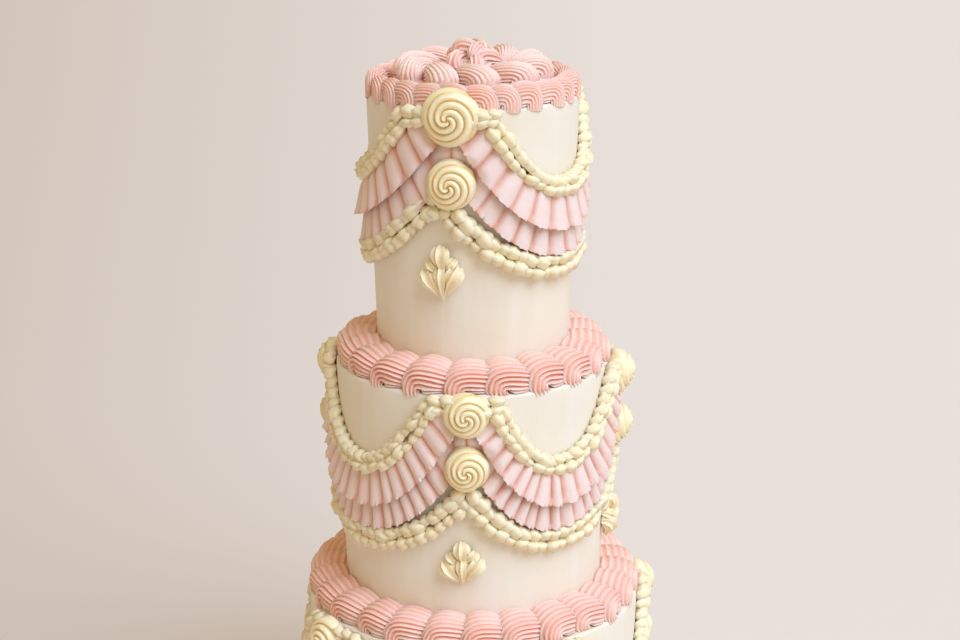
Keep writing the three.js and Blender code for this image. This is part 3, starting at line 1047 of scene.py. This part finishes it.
class Rope:
    """Two rows of beads whose tails meet on the line between the rows."""

    SLIMNESS = 0.9  # width of a bead, as a share of its place in the rope
    SIZES = (0.82, 1.16)
    TILTS = (-4, 24)  # degrees that a bead's tail turns towards the line
    SHIFTS = (-0.08, 0.08)  # as shares of the spacing
    UPPER_STRETCH = 1.15  # beads of the upper row are longer
    ROW_PLACE = 0.56  # of each row, from the line, as a share of the half width

    def __init__(self, tier, level, line, half_width, lift, rises=()):
        self.tier = tier
        self.node = f"{level}_rope_{tier.name}"
        self.line = line
        self.half_width = half_width
        self.lift = lift
        self.rises = rises  # of each swag, where they aren't the line's own

    def pipe(self, master):
        draw = random.Random(self.node)
        beads = []
        for swag in range(len(self.tier.joins)):
            low, rise, join = self.line
            if self.rises:
                rise = self.rises[swag]
            line = SwagLine(self.tier, swag, (low, rise, join))
            pairs = round(line.length / sizes().bead_spacing)
            for pair in range(pairs):
                for side in (1, -1):
                    share = (pair + draw.uniform(*self.SHIFTS)) / pairs
                    beads.append(self.bead(master, line, max(share, 0), side, draw))
        whole = join_as(f"piped_{self.node}", beads)
        finish_piece(whole, self.node, icing("cream"))

    def bead(self, master, line, share, side, draw):
        along, height = line.at(share)
        slope = math.degrees(float(line.slope(share)))
        wide = self.SLIMNESS * self.half_width / BEAD_ROPE_WIDTH
        size = draw.uniform(*self.SIZES)
        stretch = self.UPPER_STRETCH if side > 0 else 1
        longer = sizes().bead_spacing / BEAD_PITCH * stretch * size
        points = points_of(master) * (longer, wide * size, size)
        points = yawed(points, -side * draw.uniform(*self.TILTS))
        points += (0, side * self.half_width * self.ROW_PLACE, 0)
        points = yawed(points, slope)
        flat = points + (float(along), float(height), 0)
        flat[:, 2] = np.maximum(flat[:, 2], 0) + self.lift * (side < 0)
        return copy_at(master, self.tier.on_wall(flat))


class CAKE_OT_ropes(bpy.types.Operator):
    """Pipes the ropes of beads above and below the ruffles"""

    bl_idname = "cake.ropes"
    bl_label = "Ropes"

    def execute(self, context):
        master = squeeze(
            "bead_stroke", ROUND_TOOTH, teeth=5, groove=0.31, stations=BEAD_STROKE,
            paleness=0.4)
        for tier in TIERS:
            Rope(tier, "upper", UPPER_ROPE, half_width=5.9 * MM, lift=1.2 * MM).pipe(master)
            Rope(tier, "lower", LOWER_ROPE, half_width=7.5 * MM, lift=0,
                 rises=tier.lower_rope_rises).pipe(master)
        remove(master)
        return {"FINISHED"}


# ---------------------------------------------------------------- rosettes

SAW_TOOTH = (0.0, 0.42, 0.62, 0.76, 0.87, 0.95, 1.0, 0.72)
# Outline of a rosette from its back to the middle of its front, as shares of its radius and
# of its thickness.
ROSETTE_OUTLINE = [(0.9, 0.0), (0.98, 0.14), (1.0, 0.3), (0.97, 0.46), (0.91, 0.6)]
ROSETTE_FACE_RINGS = 26
ROSETTE_EYE = 0.012  # radius of the last ring of the face


def rosette_master(name, arms, ridge, turns):
    """A swirl of unit radius and unit thickness whose ridges wind in to its middle."""
    corners = len(SAW_TOOTH) * arms
    bpy.ops.object.select_all(action="DESELECT")
    bpy.ops.mesh.primitive_circle_add(
        vertices=corners, radius=ROSETTE_OUTLINE[0][0], fill_type="TRIFAN")
    piece = name_new(name)
    group = piece.vertex_groups.new(name="ridges")
    rim = [v.index for v in piece.data.vertices if v.co.length > 0.5]
    for order, index in enumerate(rim):
        group.add([index], SAW_TOOTH[order % len(SAW_TOOTH)], "REPLACE")

    rings = list(ROSETTE_OUTLINE)
    edge, start = ROSETTE_OUTLINE[-1]
    for ring in range(1, ROSETTE_FACE_RINGS + 1):
        share = ring / ROSETTE_FACE_RINGS
        dome = math.sin(share * math.pi / 2) ** 0.9
        rings.append((edge * (1 - share) + ROSETTE_EYE, start + (1 - start) * dome))
    bpy.ops.object.mode_set(mode="EDIT")
    bpy.ops.mesh.select_all(action="SELECT")
    for before, after in zip(rings, rings[1:]):
        bpy.ops.mesh.extrude_region_move(
            TRANSFORM_OT_translate={"value": (0, 0, after[1] - before[1])})
        growth = after[0] / before[0]
        middle = (0, 0, after[1])
        bpy.ops.transform.resize(value=(growth, growth, 1), center_override=middle)
        turn = turns * FULL_TURN * max(before[0] - after[0], 0)
        bpy.ops.transform.rotate(value=-turn, orient_axis="Z", center_override=middle)
    end_facing_outwards()

    # The ridges stand up on the face, are lower on the side, and fade towards the middle.
    crest = group_weights(piece, group)
    # The crests also set the painted shade in the grooves.
    mark_crests(piece, crest)
    points = points_of(piece)
    reach = np.hypot(points[:, 0], points[:, 1])
    relief = ridge * crest * (0.35 + 0.65 * smooth(1.0, 0.75, reach)) * smooth(0, 0.12, reach)
    front = smooth(0.1, 0.5, points[:, 2])
    outward = np.where(reach > 0.9, relief, 0)
    scale = 1 + outward * 0.6 / np.maximum(reach, 0.01)
    points[:, :2] *= scale[:, None]
    points[:, 2] += (relief - ridge * 0.5) * front
    set_points(piece, points)
    return piece


class CAKE_OT_rosettes(bpy.types.Operator):
    """Pipes a swirl over each join of the swags, and one below it"""

    bl_idname = "cake.rosettes"
    bl_label = "Rosettes"

    FRONT = 15 * MM
    BACK = 0.4 * MM
    TURNS = 1.25

    def execute(self, context):
        ridge = sizes().rosette_ridge / (self.FRONT - self.BACK)
        master = rosette_master("rosette_stroke", sizes().rosette_arms, ridge, self.TURNS)
        draw = random.Random("rosettes")
        for tier in TIERS:
            for join, azimuth in enumerate(tier.joins):
                for level in ("upper", "lower"):
                    node = f"{level}_rosette_{tier.name}_{join + 1}"
                    self.pipe(master, tier, node, azimuth, draw)
        remove(master)
        return {"FINISHED"}

    def pipe(self, master, tier, node, azimuth, draw):
        low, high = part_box(node)
        radius = (high.z - low.z) / 2
        points = yawed(points_of(master), draw.uniform(0, 360)) * (radius, radius, 1)
        points[:, 2] = self.BACK + points[:, 2] * (self.FRONT - self.BACK)
        points[:, 0] *= tier.rim / (tier.rim + points[:, 2])  # keeps its width off the wall
        flat = points + (azimuth * tier.rim, (high.z + low.z) / 2, 0)
        swirl = join_as(f"piped_{node}", [copy_at(master, tier.on_wall(flat))])
        finish_piece(swirl, node, icing("rosettes"))


# ---------------------------------------------------------------- fleurs

# A leaf-like stroke: high ridges, fat at its start and drawn out to a point.
PETAL_STROKE = [
    (0.6, 0.2, 96, 2.3),
    (0.5, 2.0, 70, 3.2),
    (1.8, 3.4, 34, 3.9),
    (4.2, 4.0, 6, 4.1),
    (7.2, 3.6, -8, 3.7),
    (10.4, 2.9, -12, 2.9),
    (13.6, 2.1, -12, 2.0),
    (16.4, 1.5, -10, 1.1),
    (18.4, 1.1, -8, 0.3),
]
PETAL_LENGTH = 18.4 * MM
# Strokes of a fleur, in millimetres from its middle: where each starts fat and where it ends
# in a point, its width as a share of the usual one, and how far it lies over the others.
FLEUR_STROKES = [
    ((-8.4, 6.6), (-0.6, -1.8), 1.05, 0.0),
    ((8.0, 8.2), (0.8, -1.0), 1.05, 0.0),
    ((-10.2, 1.0), (-0.8, -14.5), 1.35, 0.2),
    ((10.2, 3.4), (0.9, -14.0), 1.35, 0.2),
    ((-0.4, 15.4), (0.2, -1.6), 1.3, 0.3),
    ((0.3, 3.4), (0.5, -16.2), 1.1, 1.4),
]
FLEUR_SIZE = (24 * MM, 32 * MM)  # width and height that the strokes are placed for


class CAKE_OT_fleurs(bpy.types.Operator):
    """Pipes the small drop of six strokes below each join"""

    bl_idname = "cake.fleurs"
    bl_label = "Fleurs"

    TURNS = {"bottom": 0, "middle": -1.8, "top": -5.5}  # degrees from the join above
    WIDTHS = {"bottom": 25 * MM, "middle": 25 * MM, "top": 23 * MM}
    SIZES = (0.92, 1.08)

    def execute(self, context):
        master = squeeze(
            "petal_stroke", SHARP_TOOTH, teeth=7, groove=0.36, stations=PETAL_STROKE,
            paleness=0.4)
        draw = random.Random("fleurs")
        for tier in TIERS:
            for join, azimuth in enumerate(tier.joins):
                self.pipe(master, tier, join, azimuth, draw)
        remove(master)
        return {"FINISHED"}

    def pipe(self, master, tier, join, azimuth, draw):
        node = f"fleur_{tier.name}_{join + 1}"
        low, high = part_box(node)
        tall = (high.z - low.z) / FLEUR_SIZE[1]
        broad = self.WIDTHS[tier.name] / FLEUR_SIZE[0]
        along = (azimuth + math.radians(self.TURNS[tier.name])) * tier.rim
        petals = []
        for start, end, width, lift in FLEUR_STROKES:
            start = Vector((start[0] * broad, start[1] * tall)) * MM
            travel = Vector((end[0] * broad, end[1] * tall)) * MM - start
            size = draw.uniform(*self.SIZES)
            points = points_of(master) * (travel.length / PETAL_LENGTH, width * size, width)
            points = yawed(points, math.degrees(math.atan2(travel.y, travel.x)))
            flat = points + (along + start.x, (high.z + low.z) / 2 + start.y, lift * MM)
            flat[:, 2] = np.maximum(flat[:, 2], 0)
            petals.append(copy_at(master, tier.on_wall(flat)))
        whole = join_as(f"piped_{node}", petals)
        finish_piece(whole, node, icing("cream"), smooth_angle=65)


# ---------------------------------------------------------------- stage

LENS = 76.3  # millimetres, on the usual 36 mm sensor
CAMERA_PLACE = (0.0043, -1.2307, 0.7042)  # metres
CAMERA_PITCH = 16.714  # degrees below the level
FLOOR_SIZE = 600  # metres
WINDOW_DIRECTION = (46, 50)  # degrees to the right of the front, and above the level
WINDOW_SPREAD = 50  # degrees that the window spans
WINDOW_DISTANCE = 3  # metres; only its direction matters


class CAKE_OT_stage(bpy.types.Operator):
    """Lays the floor and sets the camera and the soft studio light"""

    bl_idname = "cake.stage"
    bl_label = "Stage"

    def execute(self, context):
        self.lay_floor()
        self.set_camera(context)
        self.set_lights(context)
        return {"FINISHED"}

    def lay_floor(self):
        bpy.ops.object.select_all(action="DESELECT")
        bpy.ops.mesh.primitive_plane_add(size=FLOOR_SIZE)
        floor = name_new("floor")
        floor.data.materials.append(floor_paint())

    def set_camera(self, context):
        pitch = math.radians(90 - CAMERA_PITCH)
        bpy.ops.object.camera_add(location=CAMERA_PLACE, rotation=(pitch, 0, 0))
        camera = bpy.context.object
        camera.data.lens = LENS
        camera.data.dof.use_dof = False
        context.scene.camera = camera

    def set_lights(self, context):
        light = context.scene.studio_light
        bearing, climb = map(math.radians, WINDOW_DIRECTION)
        towards = Vector((
            math.sin(bearing) * math.cos(climb), -math.cos(bearing) * math.cos(climb),
            math.sin(climb)))
        aim = towards.to_track_quat("Z", "Y").to_euler()
        bpy.ops.object.light_add(type="SUN", location=towards * WINDOW_DISTANCE, rotation=aim)
        window = bpy.context.object
        window.name = "window"
        window.data.angle = math.radians(WINDOW_SPREAD)
        window.data.energy = light.window_strength
        window.data.color = light.window_colour
        world = context.scene.world or bpy.data.worlds.new("room")
        context.scene.world = world
        world.use_nodes = True
        background = world.node_tree.nodes["Background"]
        background.inputs["Color"].default_value = rgba(light.room_colour)
        background.inputs["Strength"].default_value = light.room_strength
        context.scene.view_settings.view_transform = "Standard"


class CAKE_PT_panel(bpy.types.Panel):
    """Lists the steps of the cake"""

    bl_label = "Wedding cake"
    bl_idname = "CAKE_PT_panel"
    bl_space_type = "VIEW_3D"
    bl_region_type = "UI"
    bl_category = "Cake"

    def draw(self, context):
        for settings in (sizes(), colours(), context.scene.studio_light):
            box = self.layout.box()
            for name in settings.__annotations__:
                box.prop(settings, name)
        for step in STEPS:
            self.layout.operator(step.bl_idname)


STEPS = [
    CAKE_OT_stage, CAKE_OT_board, CAKE_OT_tiers, CAKE_OT_shell_borders, CAKE_OT_crown,
    CAKE_OT_ruffles, CAKE_OT_ropes, CAKE_OT_rosettes, CAKE_OT_fleurs,
]
GROUPS = {
    "piping_sizes": PipingSizes, "icing_colours": IcingColours, "studio_light": StudioLight}


def register():
    for kind in [*GROUPS.values(), *STEPS, CAKE_PT_panel]:
        bpy.utils.register_class(kind)
    for name, kind in GROUPS.items():
        setattr(bpy.types.Scene, name, PointerProperty(type=kind))


def unregister():
    for name in GROUPS:
        delattr(bpy.types.Scene, name)
    for kind in reversed([*GROUPS.values(), *STEPS, CAKE_PT_panel]):
        bpy.utils.unregister_class(kind)


def corners(box):
    return [list(map(float, corner)) for corner in box]


def main():
    register()
    for step in STEPS:
        group, name = step.bl_idname.split(".")
        getattr(getattr(bpy.ops, group), name)()


if __name__ == "__main__":
    main()
